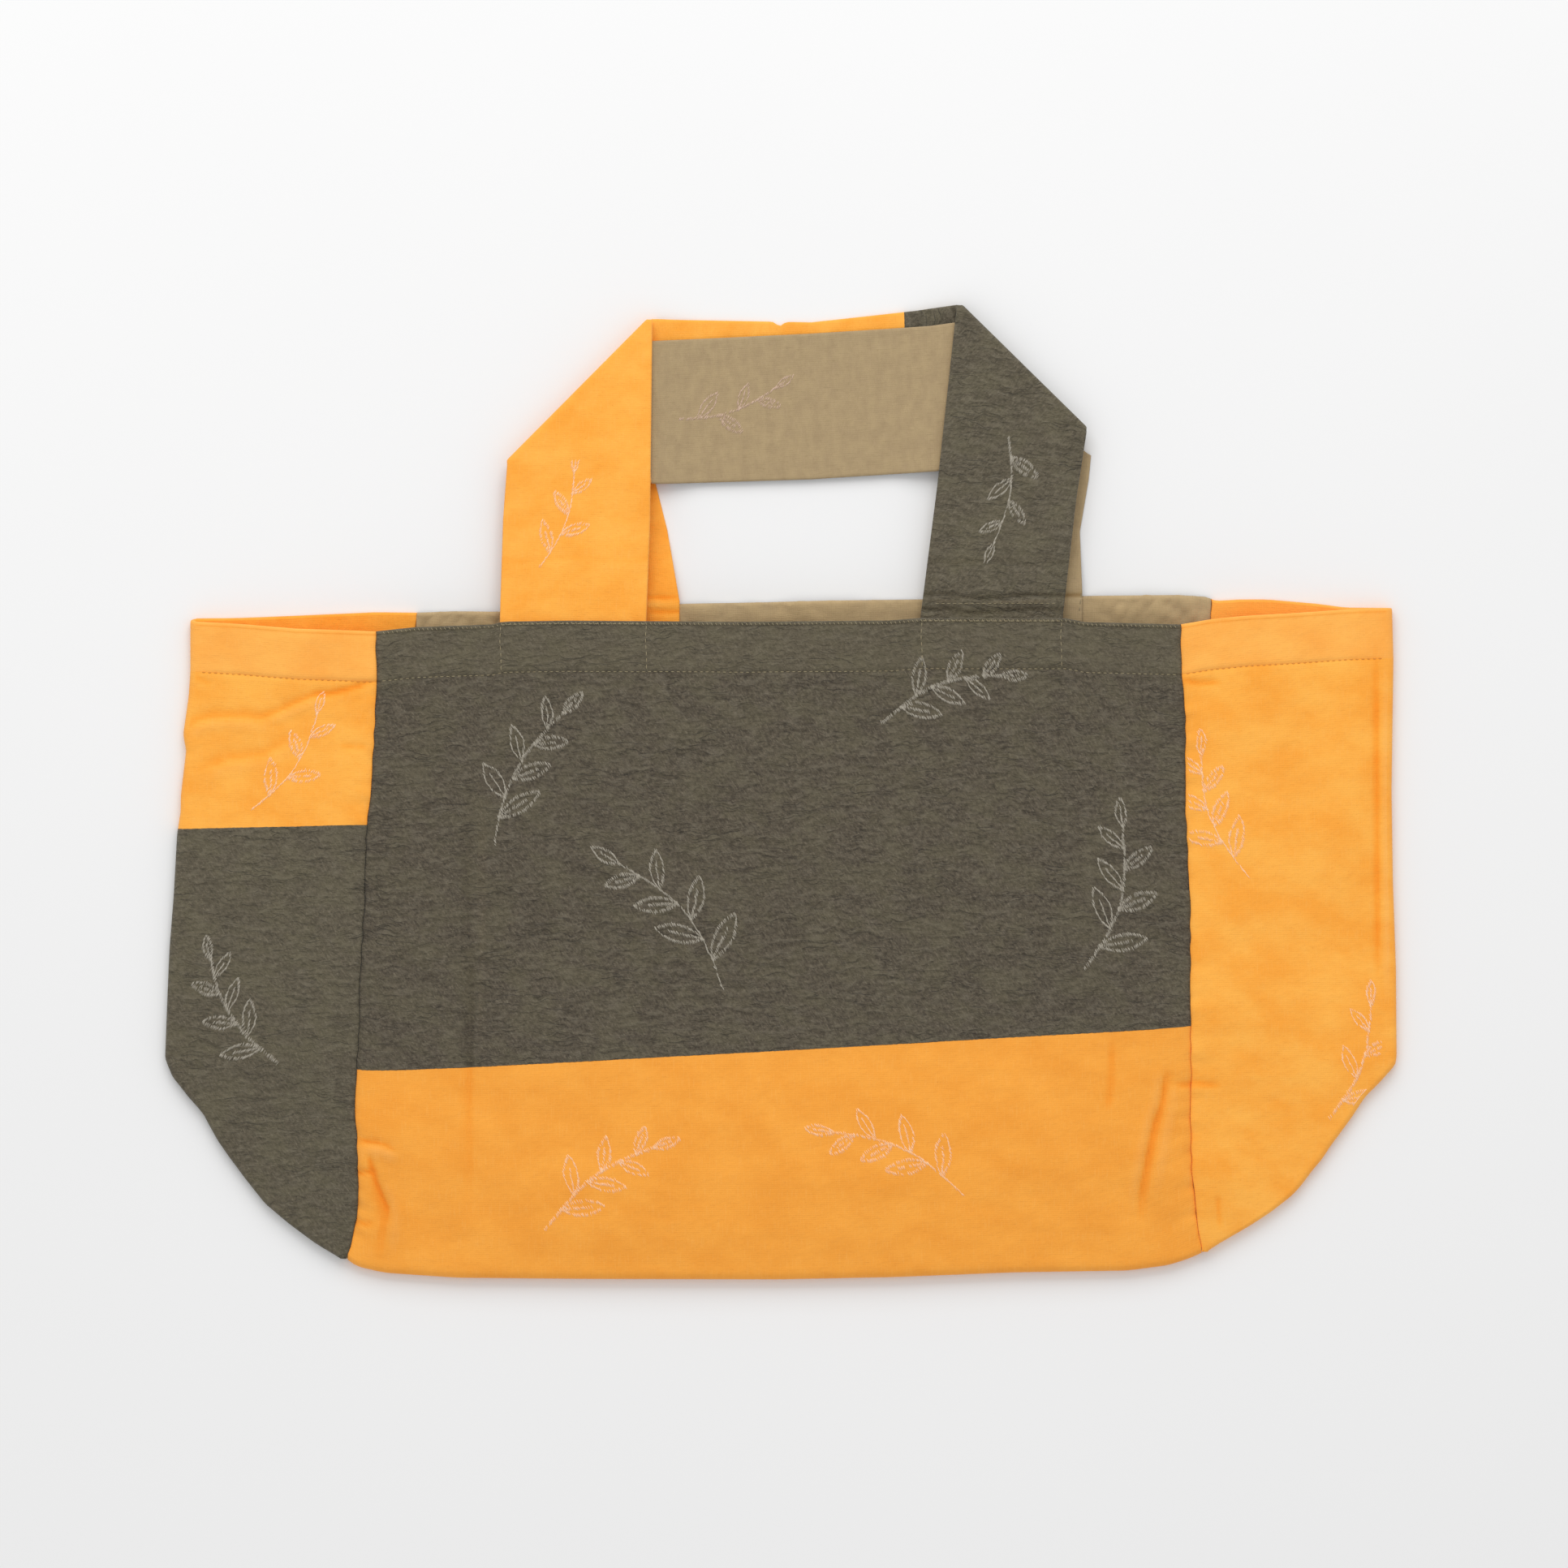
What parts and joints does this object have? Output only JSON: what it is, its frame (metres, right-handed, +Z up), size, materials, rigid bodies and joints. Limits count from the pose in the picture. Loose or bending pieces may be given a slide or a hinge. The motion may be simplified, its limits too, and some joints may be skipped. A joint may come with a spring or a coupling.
{
  "type": "woven cloth tote bag, lying flat",
  "caption": "Soft woven tote lying flat: front and back cloth in one, folded side panels as wings, turned hem at the mouth and flat strap handles folded over.",
  "frame": {"origin": "middle of the bag's outline seen from above, on the surface that it lies on", "axes": "+Z up from that surface, +Y from the bottom fold towards the handles, +X towards the bag's right wing as seen from above"},
  "size_m": [0.531, 0.4214, 0.0132],
  "materials": {
    "dark_cloth": "matte double-faced weave, dark olive grey turning orange low on the front, khaki on its other face",
    "orange_cloth": "matte smooth weave",
    "strap_cloth": "matte smooth weave, changing from orange to dark or khaki along the strap"
  },
  "bodies": {
    "root": {"main_panel": "dark_cloth", "left_side_panel": "orange_cloth", "right_side_panel": "orange_cloth", "front_handle": "strap_cloth", "back_handle": "strap_cloth"}
  },
  "joints": []
}
